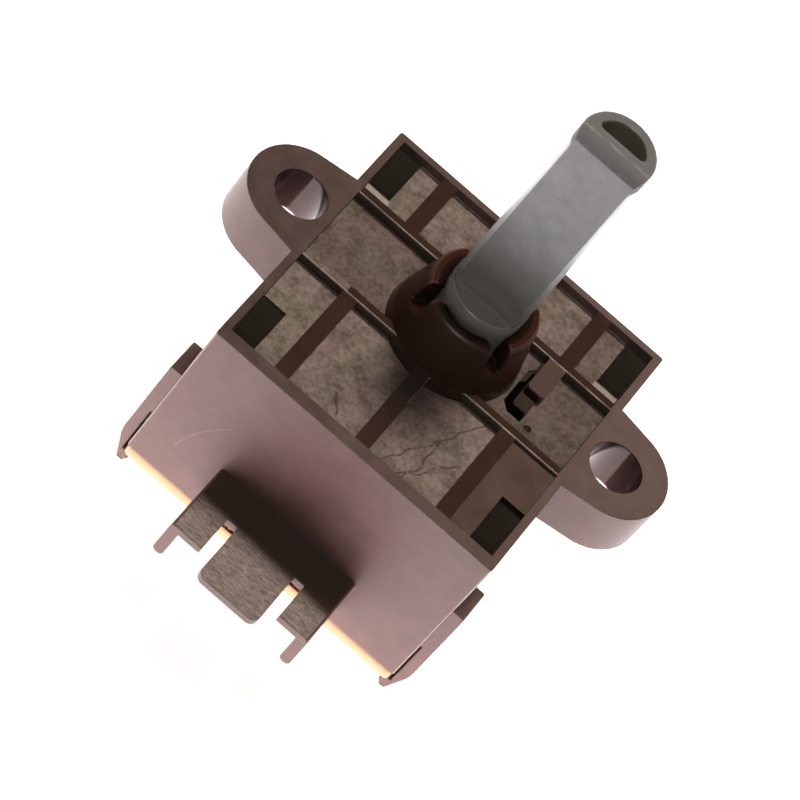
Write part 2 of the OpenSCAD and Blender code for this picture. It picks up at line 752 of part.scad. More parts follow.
module lead_b() {
    under_copper(1, [[via_at(2), [via_at(2)[0], -turn_lane], [pad_x(1), pad_back],
                      [pad_x(1), pad_back - lead_w]]], [2]);
}

module lead_a() {
    under_copper(2, [[via_at(1), [pad_x(2), -turn_lane], [pad_x(2), pad_back - lead_w]]], [1]);
}

module lead_c() {
    under_copper(3, [[via_at(3), [pad_x(3), pad_back + 2 * lead_w], [pad_x(3), pad_back - lead_w]],
                     [via_at(4), [outer_lane, via_at(3)[0]], [outer_lane, -outer_lane / 2],
                      [pad_x(3), pad_back]]], [3, 4]);
}

housing();
shaft();
rotor();
ball(-1);  // detent_ball_left
ball(1);  // detent_ball_right
color([0.7, 0.71, 0.72]) rotate([0, 0, 180]) spring();  // detent_spring_left
color([0.7, 0.71, 0.72]) spring();  // detent_spring_right
contact_brush();
circuit_board();
common_ring();
arc_track(1, 3.5, 4);  // code_arc_a
arc_track(2, 1.5, 4);  // code_arc_b
arc_track(3, 0.5, 2);  // code_arc_c_back
arc_track(3, 4.5, 2);  // code_arc_c_front
lead_common();
lead_a();
lead_b();
lead_c();
edge_pad(0);  // edge_pad_common
edge_pad(1);  // edge_pad_b
edge_pad(2);  // edge_pad_a
edge_pad(3);  // edge_pad_c
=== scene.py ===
# %% [markdown]
# # Dressing an oven selector switch
# The switch is a brown moulded housing with two screw ears, a grey D-shaped plastic shaft in a
# slotted collar, and a circuit board that four snap hooks hold from below. All its pieces have
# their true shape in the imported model, so this lesson adds no geometry to it. It loads the
# model, sets up the camera and a light table, and gives each moulding and metal its finish.

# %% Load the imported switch
import math

import bpy
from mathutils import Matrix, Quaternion, Vector


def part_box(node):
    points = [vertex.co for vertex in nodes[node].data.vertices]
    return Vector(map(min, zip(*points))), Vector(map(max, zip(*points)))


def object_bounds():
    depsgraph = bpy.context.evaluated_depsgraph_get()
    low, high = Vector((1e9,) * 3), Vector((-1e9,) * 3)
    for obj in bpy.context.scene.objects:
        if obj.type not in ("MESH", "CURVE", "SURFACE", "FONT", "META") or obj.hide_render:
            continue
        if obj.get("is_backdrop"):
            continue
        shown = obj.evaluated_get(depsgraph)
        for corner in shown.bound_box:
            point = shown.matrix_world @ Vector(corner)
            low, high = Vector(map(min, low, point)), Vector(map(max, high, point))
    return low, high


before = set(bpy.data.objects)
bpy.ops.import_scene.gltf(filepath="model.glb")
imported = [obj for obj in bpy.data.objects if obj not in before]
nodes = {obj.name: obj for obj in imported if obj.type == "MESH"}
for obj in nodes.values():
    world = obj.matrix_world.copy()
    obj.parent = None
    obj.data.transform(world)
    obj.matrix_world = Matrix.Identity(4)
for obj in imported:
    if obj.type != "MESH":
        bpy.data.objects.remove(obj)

cad_low, cad_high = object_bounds()
MM = 0.001
print("nodes:", len(nodes), "size in mm:", [round(s / MM, 2) for s in cad_high - cad_low])

# %% [markdown]
# ## The camera
# The photograph was taken with a long lens from well above the connector side, with the
# picture turned about the line of sight. A camera is easiest to read as an orbit: the point
# it looks at, how far away it stands, and three angles. The angles and the lens were solved
# from the housing's corners, so the render lines up with the photograph.

# %% Camera on an orbit
AIM = Vector((0.07, -5.17, -4.0)) * MM
DISTANCE = 341.2 * MM
AZIMUTH = math.radians(-0.22)
ELEVATION = math.radians(48.34)
PICTURE_TURN = math.radians(41.17)
LENS_MM = 213.7
SENSOR_MM = 36
NEAREST = 0.01
FARTHEST = 20

back = Vector((
    math.sin(AZIMUTH) * math.cos(ELEVATION),
    -math.cos(AZIMUTH) * math.cos(ELEVATION),
    math.sin(ELEVATION),
))
camera = bpy.data.objects.new("camera", bpy.data.cameras.new("camera"))
bpy.context.scene.collection.objects.link(camera)
camera.location = AIM + back * DISTANCE
camera.rotation_mode = "QUATERNION"
camera.rotation_quaternion = (-back).to_track_quat("-Z", "Y") @ Quaternion((0, 0, 1), PICTURE_TURN)
camera.data.sensor_width = SENSOR_MM
camera.data.lens = LENS_MM
camera.data.clip_start = NEAREST
camera.data.clip_end = FARTHEST
bpy.context.scene.camera = camera
print("camera in mm:", [round(c / MM, 1) for c in camera.location])

# %% [markdown]
# ## Two small helpers
# Colours are picked as sRGB hex values, because that is what a colour picker shows, but
# Blender's sockets take linear light. One function turns the first into the second. The
# other adds one shader node with its settings and its links, which is all that a node tree
# is made of. A mix node has a set of inputs for each kind of value and picks them by number:
# 0 is the share, 2 and 3 are two numbers, 4 and 5 two vectors, and 6 and 7 two colours. A
# noise stays near the middle of its range, so it is stretched before it blends two colours.

# %% Colour and node helpers
def linear(hex_colour):
    """Turns an sRGB hex colour into linear red, green, blue and a full alpha."""
    parts = [int(hex_colour[i:i + 2], 16) / 255 for i in (1, 3, 5)]
    return [p / 12.92 if p <= 0.04045 else ((p + 0.055) / 1.055) ** 2.4 for p in parts] + [1]


def add(tree, kind, settings, inputs, out=0):
    """Adds a node and returns one output. An input takes a value or another node's output."""
    made = tree.nodes.new(kind)
    for name, value in settings.items():
        setattr(made, name, value)
    for key, value in inputs.items():
        if isinstance(value, bpy.types.NodeSocket):
            tree.links.new(value, made.inputs[key])
        else:
            made.inputs[key].default_value = value
    return made.outputs[out] if made.outputs else None


# Kinds of node
MATH = "ShaderNodeMath"
VECTOR = "ShaderNodeVectorMath"
AXES = "ShaderNodeSeparateXYZ"
NOISE = "ShaderNodeTexNoise"
RAMP = "ShaderNodeMapRange"
MIX = "ShaderNodeMix"
BUMP = "ShaderNodeBump"
PRINCIPLED = "ShaderNodeBsdfPrincipled"
OUTPUT = "ShaderNodeOutputMaterial"

# Settings
TIMES = {"operation": "MULTIPLY"}
TIMES_PLUS = {"operation": "MULTIPLY_ADD"}
MINUS = {"operation": "SUBTRACT"}
WITHOUT = {"operation": "SUBTRACT", "use_clamp": True}
HIGHEST = {"operation": "MAXIMUM"}
DOT = {"operation": "DOT_PRODUCT"}
LENGTH = {"operation": "LENGTH"}
SMOOTH = {"interpolation_type": "SMOOTHSTEP"}
STRETCHED = {"From Min": 0.35, "From Max": 0.65}
NUMBERS = {"data_type": "FLOAT"}
VECTORS = {"data_type": "VECTOR"}
COLOURS = {"data_type": "RGBA"}
GLAZE = {"data_type": "RGBA", "blend_type": "MULTIPLY"}
print("mid grey in linear light:", round(linear("#808080")[0], 3))

# %% [markdown]
# ## The table top
# The photograph was taken on a glowing white table. A matt white sheet lies under the switch
# and catches its shadow. It looks white because it glows a little, but only for the rays that
# look at it. Rays that carry light from one surface to the next see plain white paper, so the
# glow adds no light to the switch.

# %% Table top
FLOOR_SIZE = 6.0
FLOOR_GLOW = 0.88

floor_z = cad_low.z
bpy.ops.mesh.primitive_plane_add(size=FLOOR_SIZE, location=(0, 0, floor_z))
floor = bpy.context.active_object
floor.name = "table_top"
floor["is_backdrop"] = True

sheet = bpy.data.materials.new("white_acrylic_sheet")
sheet.use_nodes = True
tree = sheet.node_tree
tree.nodes.clear()
matt = add(tree, "ShaderNodeBsdfDiffuse", {}, {"Color": linear("#F4F4F4")})
looks = [add(tree, "ShaderNodeLightPath", {}, {}, out=kind)
         for kind in ("Is Camera Ray", "Is Glossy Ray", "Is Transmission Ray")]
seen = add(tree, MATH, HIGHEST, {0: looks[0], 1: looks[1]})
seen = add(tree, MATH, HIGHEST, {0: seen, 1: looks[2]})
level = add(tree, MATH, TIMES, {0: seen, 1: FLOOR_GLOW})
glow = add(tree, "ShaderNodeEmission", {}, {"Color": linear("#FFFFFF"), "Strength": level})
lit = add(tree, "ShaderNodeAddShader", {}, {0: matt, 1: glow})
add(tree, OUTPUT, {}, {"Surface": lit})
floor.data.materials.append(sheet)
print("floor height in mm:", round(floor_z / MM, 2))

# %% [markdown]
# ## The lamps
# On a glowing table the faces that look down or to the front are bright, the faces that look
# up are dim, and the face above the connector hood lies in shade. A square lamp that lies
# under the switch and shines upwards does that. A warm softbox hangs high behind the switch.
# It lights the faces that look up and drops the soft shadow of the shaft and the collar on the
# panels in front of them. Glossy rays pass it by, so the polished tops don't mirror it. A third
# lamp stands behind the camera, in line with it, and is the opposite: only glossy rays see it,
# and it draws the thin bright lines on rounded edges. A camera in Blender has no body, so it
# casts no shadow.

# %% Lamps
# Sizes and places are in metres, and a level is the radiance of the lamp's surface
TABLE_SIZE = 0.092
TABLE_LEVEL = 3.45
TABLE_LIFT = 0.02 * MM
SOFTBOX_SIZE = 0.12
SOFTBOX_LEVEL = 52
SOFTBOX_PLACE = (-0.012, 0.2, 0.59)
LENS_LAMP_SIZE = 0.12
LENS_LAMP_LEVEL = 95
LENS_LAMP_DISTANCE = 0.6
HIGH_UP = (0, 0, 1)
ORIGIN = (0, 0, 0)


def area_lamp(name, size, level, location, target, colour):
    """A square lamp whose surface has the radiance level, where 1 looks white."""
    lamp = bpy.data.lights.new(name, "AREA")
    lamp.shape = "SQUARE"
    lamp.size = size
    lamp.energy = level * math.pi * size * size
    lamp.color = linear(colour)[:3]
    made = bpy.data.objects.new(name, lamp)
    made.location = location
    made.rotation_mode = "QUATERNION"
    made.rotation_quaternion = (Vector(target) - Vector(location)).to_track_quat("-Z", "Y")
    made.visible_camera = False
    bpy.context.scene.collection.objects.link(made)
    return made


on_table = (0, 0, floor_z + TABLE_LIFT)
table_lamp = area_lamp("table_lamp", TABLE_SIZE, TABLE_LEVEL, on_table, HIGH_UP, "#FFFFFF")
softbox = area_lamp("back_softbox", SOFTBOX_SIZE, SOFTBOX_LEVEL, SOFTBOX_PLACE, ORIGIN, "#FFF8EC")
softbox.visible_glossy = False
behind_camera = AIM + back * LENS_LAMP_DISTANCE
lens_lamp = area_lamp("lens_lamp", LENS_LAMP_SIZE, LENS_LAMP_LEVEL, behind_camera, AIM, "#FFF4E8")
lens_lamp.visible_diffuse = False
print("lamps in W:", [round(lamp.data.energy, 2) for lamp in (table_lamp, softbox, lens_lamp)])

# %% [markdown]
# ## The room
# Polished plastic shows what stands round it. The room is pale at the level of the horizon
# and dark overhead, which keeps the polished ribs dark. A world can paint that with the height
# of the direction that a ray takes, which is 0 at the horizon and 1 straight up.

# %% World
HORIZON = "#A4A4A4"
OVERHEAD = "#4F4B49"
DARK_FROM = 0.3

world = bpy.data.worlds.new("studio_room")
bpy.context.scene.world = world
world.use_nodes = True
tree = world.node_tree
tree.nodes.clear()
direction = add(tree, "ShaderNodeTexCoord", {}, {}, out="Generated")
height = add(tree, AXES, {}, {0: direction}, out="Z")
share = add(tree, RAMP, SMOOTH, {"Value": height, "From Min": 0.0, "From Max": DARK_FROM})
paint = add(tree, MIX, COLOURS, {0: share, 6: linear(HORIZON), 7: linear(OVERHEAD)}, out=2)
sky = add(tree, "ShaderNodeBackground", {}, {"Color": paint, "Strength": 1.0})
add(tree, "ShaderNodeOutputWorld", {}, {"Surface": sky})
print("level overhead:", round(linear(OVERHEAD)[0], 2))

# %% [markdown]
# ## Coordinates and masks
# The housing is one plastic with several finishes, so it gets one material. Masks choose the
# finish, and each mask is 1 inside a box that is given in millimetres and 0 outside it. The
# surface's own coordinates travel with the piece, so the finish stays on it when it moves.

# %% Coordinates and masks
LEVEL_COSINE = 0.9
BAND_CORE = 0.15


def start(name):
    """A new material with an empty tree, and its surface coordinates in millimetres."""
    made = bpy.data.materials.new(name)
    made.use_nodes = True
    tree = made.node_tree
    tree.nodes.clear()
    place = add(tree, "ShaderNodeTexCoord", {}, {}, out="Object")
    spot = add(tree, VECTOR, {"operation": "SCALE"}, {0: place, "Scale": 1 / MM})
    return made, tree, spot


def in_box(tree, spot, low, high):
    """A mask of the box between two opposite corners, in millimetres."""
    mask = 1.0
    for axis, a, b in zip("XYZ", low, high):
        along = add(tree, AXES, {}, {0: spot}, out=axis)
        near = add(tree, MATH, {"operation": "COMPARE"}, {0: along, 1: (a + b) / 2, 2: (b - a) / 2})
        mask = add(tree, MATH, TIMES, {0: near, 1: mask})
    return mask


def any_of(tree, masks):
    """The highest of several masks."""
    most = masks[0]
    for mask in masks[1:]:
        most = add(tree, MATH, HIGHEST, {0: mask, 1: most})
    return most


def looking_up(tree):
    """A mask of the faces that look straight up."""
    facing = add(tree, "ShaderNodeTexCoord", {}, {}, out="Normal")
    up = add(tree, AXES, {}, {0: facing}, out="Z")
    return add(tree, MATH, {"operation": "GREATER_THAN"}, {0: up, 1: LEVEL_COSINE})


def band(tree, value, centre, half):
    """A soft line that is 1 in its core, where the value meets the centre, and 0 past its half width."""
    off = add(tree, MATH, MINUS, {0: value, 1: centre})
    off = add(tree, MATH, {"operation": "ABSOLUTE"}, {0: off})
    return add(tree, RAMP, SMOOTH, {"Value": off, "From Min": half, "From Max": BAND_CORE * half})


print("masks are given in mm, one scene unit is", 1 / MM, "mm")

# %% [markdown]
# ## Rounded edges
# A moulded edge is never quite sharp, and the thin line of light on it is what makes a small thing look
# solid. The mesh keeps its sharp edges, and the Bevel node bends the normal near them instead. How far it
# bends also gives a mask of the edges, on which a paler paint draws painted highlights. The node sends
# rays to find the edges, so it is a little noisy. The faces where that would show are left out by a mask.

# %% Rounded edges
BEVEL_RAYS = 12
HARDLY_BENT = 0.995
WELL_BENT = 0.88


def rounded_normal(tree, radius, kept_sharp):
    """The normal of softly rounded edges, and the flat one where the last mask is 1."""
    flat = add(tree, "ShaderNodeNewGeometry", {}, {}, out="Normal")
    rounded = add(tree, "ShaderNodeBevel", {"samples": BEVEL_RAYS}, {"Radius": radius})
    return add(tree, MIX, VECTORS, {0: kept_sharp, 4: rounded, 5: flat}, out=1)


def highlight_edges(tree, rounded):
    """A mask of the edges for painted highlights, found where the rounded normal leaves the flat one."""
    flat = add(tree, "ShaderNodeNewGeometry", {}, {}, out="Normal")
    kept = add(tree, VECTOR, DOT, {0: rounded, 1: flat}, out="Value")
    return add(tree, RAMP, SMOOTH, {"Value": kept, "From Min": HARDLY_BENT, "From Max": WELL_BENT})


print("an edge counts as bent from", round(math.degrees(math.acos(WELL_BENT))), "degrees")

# %% [markdown]
# ## The panel floors
# The housing is a brown, mineral-filled polyester. The panel floors are pale, because the
# filler comes to the surface there. Two noises make the mottle, as wide as it looks in the
# photograph, and a slower one lets the tint wander between mauve and green. A few dark flow
# lines cross the floors where two streams of melt met. Each is a band about a straight line,
# and a noise bends the straight line before the band is measured.

# %% Panel floors
MOTTLE_MM = 0.38
PATCH_MM = 1.4
TINT_MM = 3.5
WOBBLE_MM = 2.5
WOBBLE_REACH_MM = 1.7
FLOW_LINE_HALF_MM = 0.14

# Each line has its normal in plan, its place along that normal, and the box that ends it
FLOW_LINES = (
    ((0.90, -0.42), 7.3, (0.7, -14.1, -1), (6.8, -4.3, -0.5)),
    ((0.99, -0.10), 5.1, (0.7, -14.1, -1), (6.8, -8.5, -0.5)),
    ((0.82, -0.57), 10.4, (3.0, -14.1, -1), (6.8, -9.0, -0.5)),
    ((0.78, 0.62), -10.1, (-3.9, -13.0, -1), (-2.6, -11.3, -0.5)),
)
# The panel floors are darker in the middle row and in one back corner, by the share that comes last
DARKER_PANEL_BOXES = (
    ((-12.1, -3.6, -1), (0, 4.0, -0.5), 0.8),
    ((0, -3.6, -1), (12.1, 4.0, -0.5), 1.0),
    ((7.9, 4.4, -1), (12.1, 10.8, -0.5), 0.6),
)


def flow_lines(tree, spot):
    """A mask of the dark wavy lines."""
    wobble = add(tree, NOISE, {}, {"Vector": spot, "Scale": 1 / WOBBLE_MM, "Detail": 2}, out="Color")
    wobble = add(tree, VECTOR, MINUS, {0: wobble, 1: (0.5, 0.5, 0.5)})
    wobble = add(tree, VECTOR, {"operation": "SCALE"}, {0: wobble, "Scale": WOBBLE_REACH_MM})
    moved = add(tree, VECTOR, {"operation": "ADD"}, {0: spot, 1: wobble})
    lines = []
    for across, place, low, high in FLOW_LINES:
        reach = add(tree, VECTOR, DOT, {0: moved, 1: (*across, 0)}, out="Value")
        line = band(tree, reach, place, FLOW_LINE_HALF_MM)
        lines.append(add(tree, MATH, TIMES, {0: line, 1: in_box(tree, spot, low, high)}))
    return any_of(tree, lines)


def panel_floor(tree, spot):
    """Pale filler-rich skin: a coarse drift under a fine mottle, a slow tint, dark flow lines."""
    wide = add(tree, NOISE, {}, {"Vector": spot, "Scale": 1 / PATCH_MM, "Detail": 4, "Roughness": 0.6})
    fine = add(tree, NOISE, {}, {"Vector": spot, "Scale": 1 / MOTTLE_MM, "Detail": 4, "Roughness": 0.65})
    mottle = add(tree, MIX, NUMBERS, {0: 0.5, 2: wide, 3: fine})
    mottle = add(tree, RAMP, {}, {"Value": mottle, "From Min": 0.38, "From Max": 0.62})
    colour = add(tree, MIX, COLOURS, {0: mottle, 6: linear("#73665F"), 7: linear("#AC9D97")}, out=2)
    slow = add(tree, NOISE, {}, {"Vector": spot, "Scale": 1 / TINT_MM, "Detail": 3})
    slow = add(tree, RAMP, {}, {"Value": slow, **STRETCHED})
    tint = add(tree, MIX, COLOURS, {0: slow, 6: linear("#FFF0F4"), 7: linear("#F4F4EA")}, out=2)
    colour = add(tree, MIX, GLAZE, {0: 1.0, 6: colour, 7: tint}, out=2)
    patchy = add(tree, RAMP, {}, {"Value": fine, "From Min": 0.4, "From Max": 0.52, "To Max": 0.75})
    faint = add(tree, MATH, TIMES, {0: flow_lines(tree, spot), 1: patchy})
    colour = add(tree, MIX, COLOURS, {0: faint, 6: colour, 7: linear("#3A2C25")}, out=2)
    darker_share = any_of(tree, [add(tree, MATH, TIMES, {0: in_box(tree, spot, low, high), 1: part})
                         for low, high, part in DARKER_PANEL_BOXES])
    return add(tree, MIX, GLAZE, {0: darker_share, 6: colour, 7: linear("#CDCBC8")}, out=2)


print("flow lines:", len(FLOW_LINES))

# %% [markdown]
# ## The hood's top and the front face
# The hood's top carries short streaks across the way it was pulled from the mould. A noise
# makes them when its coordinates are packed more densely across the streaks than along them.
# Near the housing they give way to plain dark brown, which is a painted shade where the front wall shades
# the hood's top, and its edge slants as that shade does. The front face has one faint scratch, which is
# part of a circle and so is drawn as a band about its radius.

# %% Streaks and a scratch
STREAKS_PER_MM = (1.6, 6.0, 1.0)
# Where the painted shade near the housing begins and where it is full in Y, and how its edge slants along
# X
HOOD_SHADE_Y = (-19.2, -18.2)
HOOD_SHADE_SLANT = 0.07
SCRATCH_CENTRE = (0.35, 0, -13.8)
SCRATCH_RADIUS = 10.46
SCRATCH_HALF = 0.1
SCRATCH_BOX = ((-10.4, -15.3, -12.6), (-7.4, -15.1, -7.0))


def hood_streaks_and_shade(tree, spot):
    """Short grey-brown streaks that run along X, under a painted shade near the housing."""
    combed = add(tree, VECTOR, TIMES, {0: spot, 1: STREAKS_PER_MM})
    streak = add(tree, NOISE, {}, {"Vector": combed, "Scale": 1.0, "Detail": 8,
                                   "Roughness": 0.75, "Distortion": 0.3})
    spread = add(tree, RAMP, {}, {"Value": streak, "From Min": 0.32, "From Max": 0.68})
    streaks = add(tree, MIX, COLOURS, {0: spread, 6: linear("#5E524C"), 7: linear("#C8B6B0")}, out=2)
    # Painted shade: the hood's top turns dark brown near the housing, where the front wall shades it
    across = add(tree, AXES, {}, {0: spot}, out="X")
    along = add(tree, AXES, {}, {0: spot}, out="Y")
    along = add(tree, MATH, TIMES_PLUS, {0: across, 1: HOOD_SHADE_SLANT, 2: along})
    root = add(tree, RAMP, SMOOTH, {"Value": along, "From Min": HOOD_SHADE_Y[0],
                                    "From Max": HOOD_SHADE_Y[1]})
    return add(tree, MIX, COLOURS, {0: root, 6: streaks, 7: linear("#4E3A2B")}, out=2)


def front_scratch(tree, spot):
    """A mask of a faint arc that a tool left on the front face."""
    flat = add(tree, VECTOR, TIMES, {0: spot, 1: (1, 0, 1)})
    reach = add(tree, VECTOR, {"operation": "DISTANCE"}, {0: flat, 1: SCRATCH_CENTRE}, out="Value")
    part = in_box(tree, spot, *SCRATCH_BOX)
    return add(tree, MATH, TIMES, {0: band(tree, reach, SCRATCH_RADIUS, SCRATCH_HALF), 1: part})


print("streaks per mm, along and across:", STREAKS_PER_MM[:2])

# %% [markdown]
# ## Where things are on the housing
# Each place on the housing that has its own finish is a box, or a few boxes, with its lowest
# and highest corner in millimetres. They are measured from the shaft's axis and from the rim.
# The boxes are a little larger than what they hold, so that rounding never drops a face.

# %% The housing's places
HOLE_X = 15
HOLE_R = 2.16

PLACES = {
    "recess": [((-12.06, -14.1, -1.2), (12.06, 10.7, 5.2))],
    "collar": [((-5.6, -5.6, 0.1), (5.6, 5.6, 5.2))],
    "collar top": [((-5, -5, 4.0), (5, 5, 5.2))],
    "ear bores": [((x - HOLE_R, -HOLE_R, -4.45), (x + HOLE_R, HOLE_R, -0.02))
                  for x in (-HOLE_X, HOLE_X)],
    "panels": [((-12.1, -14.2, -1), (12.1, 10.8, -0.5))],
    "shallow panel": [((6.7, -14.1, -0.49), (12.1, -4.2, -0.2))],
    "wells": [((-12.1, -14.2, -10), (12.1, 10.8, -0.95))],
    "well sills": [((x, 5.4, -0.95), (x + 2.1, 5.9, -0.7)) for x in (-12.0, 9.9)],
    "window": [((5.5, -1.5, -16), (7.8, 4.8, -0.9))],
    "window block": [((6.2, 0.3, -0.2), (8.0, 4.0, 0.1))],
    "scuffed rib": [((-12.0, -4.27, -0.1), (-7.9, -3.5, 0.1))],
    # The front edges of the long ribs and the edge of one cross rib, which get a painted highlight
    "rib edge highlights": [
        ((-12.06, -4.3, -0.13), (12.06, -4.16, 0.02)),
        ((-12.06, 3.9, -0.13), (12.06, 4.04, 0.02)),
        ((0.58, -8.5, -0.06), (0.7, -4.3, 0.02)),
    ],
    # The vertical corners of the front face, which get a painted highlight
    "front corner highlights": [
        ((-12.8, -15.3, -15.8), (-12.63, -15.1, -0.2)),
        ((12.63, -15.3, -15.8), (12.8, -15.1, -0.2)),
    ],
    "hood top": [((-7, -25, -10.9), (7, -15.1, -10.7))],
    "hood root": [((-7, -15.6, -11), (7, -15, -10.5))],
    "hood lip": [((-5.4, -24.2, -11.6), (5.4, -21.9, -10.79))],
}


def housing_places(tree, spot):
    """The masks of the housing's places, each under its name."""
    place = {name: any_of(tree, [in_box(tree, spot, low, high) for low, high in boxes])
             for name, boxes in PLACES.items()}
    place["up"] = looking_up(tree)
    for name in ("panels", "shallow panel", "hood top"):
        place[name] = add(tree, MATH, TIMES, {0: place["up"], 1: place[name]})
    place["ribs"] = add(tree, MATH, WITHOUT, {0: place["recess"], 1: place["collar"]})
    dull = any_of(tree, [place["panels"], place["window block"]])
    polished = add(tree, MATH, WITHOUT, {0: place["recess"], 1: dull})
    place["polished"] = any_of(tree, [polished, place["ear bores"]])
    return place


print("places on the housing:", len(PLACES))

# %% [markdown]
# ## The housing's colours
# Most of the mould was spark-eroded, which leaves a fine grain that scatters the light and looks
# mauve-brown. The ribs and the collar were polished and come out dark. The colour starts with the skin,
# in two tones that drift into each other, and then each place is painted over it in turn. The faces that
# look up get paler tones of their own, a painted light for the warmer light from above. These tops are
# also painted slowly paler toward the back right, where more light falls.

# %% Housing colours
# The painted light on the tops grows toward this direction, over this span, by this share
PAINTED_LIGHT_TOWARD = (1, 0.5, 0)
PAINTED_LIGHT_SPAN_MM = 18
PAINTED_LIGHT_SHARE = 0.65
# The painted shade inside the collar is full at the first distance from the axis and gone at the second
THROAT_SHADE_MM = (3.5, 4.0)
SCUFFED = 0.8
SILLS_WORN = 0.6
SCRATCH_SHOWS = 0.12


def housing_colour(tree, spot, cloud, place):
    """The housing's base colour: skin, tops in painted light and polished parts, then a paint for each
    place.
    """
    drift = add(tree, RAMP, {}, {"Value": cloud, **STRETCHED})
    colour = add(tree, MIX, COLOURS, {0: drift, 6: linear("#57312D"), 7: linear("#653C37")}, out=2)
    # Painted light: the up faces get paler tones, which turn paler still toward the back right
    toward = add(tree, VECTOR, DOT, {0: spot, 1: PAINTED_LIGHT_TOWARD}, out="Value")
    toward = add(tree, RAMP, {}, {"Value": toward, "From Min": -PAINTED_LIGHT_SPAN_MM, "From Max": PAINTED_LIGHT_SPAN_MM})
    toward = add(tree, MIX, NUMBERS, {0: PAINTED_LIGHT_SHARE, 2: drift, 3: toward})
    painted_light_tops = add(tree, MIX, COLOURS, {0: toward, 6: linear("#5B4844"), 7: linear("#856E69")}, out=2)
    colour = add(tree, MIX, COLOURS, {0: place["up"], 6: colour, 7: painted_light_tops}, out=2)
    glossy = add(tree, MIX, COLOURS, {0: drift, 6: linear("#3C281F"), 7: linear("#483026")}, out=2)
    colour = add(tree, MIX, COLOURS, {0: place["polished"], 6: colour, 7: glossy}, out=2)

    shallow = add(tree, MIX, COLOURS, {0: drift, 6: linear("#5F4942"), 7: linear("#705850")}, out=2)
    pale_floor = panel_floor(tree, spot)
    flat = add(tree, VECTOR, TIMES, {0: spot, 1: (1, 1, 0)})
    reach = add(tree, VECTOR, LENGTH, {0: flat}, out="Value")
    # Painted shade: the collar turns nearly black inward, toward the bore
    inner = add(tree, RAMP, SMOOTH, {"Value": reach, "From Min": THROAT_SHADE_MM[1], "From Max": THROAT_SHADE_MM[0]})
    painted_throat_shade = add(tree, MATH, TIMES, {0: place["collar"], 1: inner})
    scuffs = add(tree, MATH, TIMES, {0: place["scuffed rib"], 1: SCUFFED})
    worn_sills = add(tree, MATH, TIMES, {0: place["well sills"], 1: SILLS_WORN})
    scratch = add(tree, MATH, TIMES, {0: front_scratch(tree, spot), 1: SCRATCH_SHOWS})
    for mask, paint in (
        (place["ear bores"], linear("#4A3434")),
        (place["shallow panel"], shallow),
        (place["collar"], linear("#42261B")),
        # Painted light: the deep wells and the window's inside get pale paints that lift them out of
        # their shade
        (place["wells"], linear("#9A8E82")),
        (place["window"], linear("#E0D2C4")),
        (place["window block"], linear("#66524A")),
        (place["panels"], pale_floor),
        (scuffs, pale_floor),
        (worn_sills, linear("#D8CCC4")),
        (place["hood top"], hood_streaks_and_shade(tree, spot)),
        (place["hood lip"], linear("#54342F")),
        (scratch, linear("#A58C88")),
        # Painted highlight on the rounded edges round the collar's top
        (place["painted collar highlight"], linear("#7E5650")),
        (painted_throat_shade, linear("#22140F")),
        # Painted highlight on the front corners
        (place["front corner highlights"], linear("#A48C84")),
        # Painted highlight on the rib edges
        (place["rib edge highlights"], linear("#D2C6BC")),
    ):
        colour = add(tree, MIX, COLOURS, {0: mask, 6: colour, 7: paint}, out=2)
    return colour


print("the throat darkens from", THROAT_SHADE_MM[1], "to", THROAT_SHADE_MM[0], "mm from the axis")

# %% [markdown]
# ## Moulded polyester
# The eroded skin is dull, and its grain shows in the bump. The polished ribs and the screw
# holes are glossy and nearly smooth, and the collar is satin. Polyester has an IOR of about
# 1.54, and the level of its shine is lowered where the filler reaches the surface. The real
# grain is a few hundredths of a millimetre wide, but a pixel of the render covers 0.07 mm. So
# the grain is drawn larger, 0.22 mm wide and deeper to match, because it has to show.

# %% Housing material
CLOUD_MM = 2.5
GRAIN_MM = 0.22
GRAIN_HEIGHT_MM = 0.05
EDGE_MM = 0.2
COLLAR_EDGE_MM = 0.45
PLAIN_SHINE = 0.5


